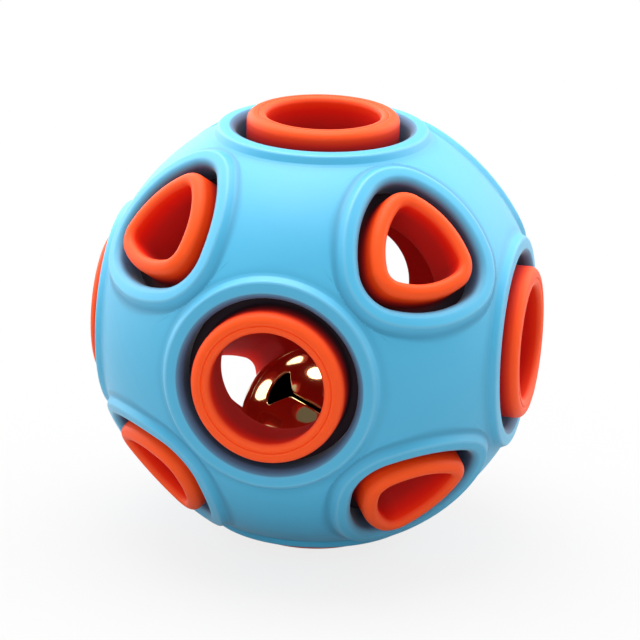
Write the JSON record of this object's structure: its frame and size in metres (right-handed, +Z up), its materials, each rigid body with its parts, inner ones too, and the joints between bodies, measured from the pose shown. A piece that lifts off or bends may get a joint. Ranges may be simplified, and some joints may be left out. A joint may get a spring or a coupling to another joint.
{
  "type": "rubber dog ball",
  "caption": "Hollow rubber dog ball: a lipped outer shell over an inner ball whose open round and three-cornered collars stand through its holes, with a loose jingle bell inside.",
  "frame": {"origin": "centre of the ball", "axes": "+Z up through the top round collar, -Y to the front through the round collar that shows the bell, +X to the right through another round collar"},
  "size_m": [0.0724, 0.0724, 0.0724],
  "materials": {
    "shell_rubber": "satin sky-blue rubber",
    "inner_rubber": "satin orange-red rubber",
    "bell_brass": "polished",
    "pellet_steel": "plain"
  },
  "bodies": {
    "inner_ball": {"inner_ball": "inner_rubber"},
    "outer_shell": {"outer_shell": "shell_rubber"},
    "bell": {"bell_lower_cup": "bell_brass", "bell_upper_cup": "bell_brass", "bell_loop": "bell_brass"},
    "pellet": {"bell_pellet": "pellet_steel"}
  },
  "joints": [
    {"name": "shell_twist", "type": "hinge", "parent": "inner_ball", "child": "outer_shell", "pos_m": [0, 0, 0], "axis": [0, 0, 1], "range_deg": [-2.7, 2.7]},
    {"name": "bell_bounce", "type": "slide", "parent": "inner_ball", "child": "bell", "axis": [0, 0, 1], "range_m": [0, 0.035]},
    {"name": "pellet_roll", "type": "hinge", "parent": "bell", "child": "pellet", "pos_m": [0, 0, -0.01752], "axis": [-0.606, 0.7955, 0], "continuous": true}
  ]
}
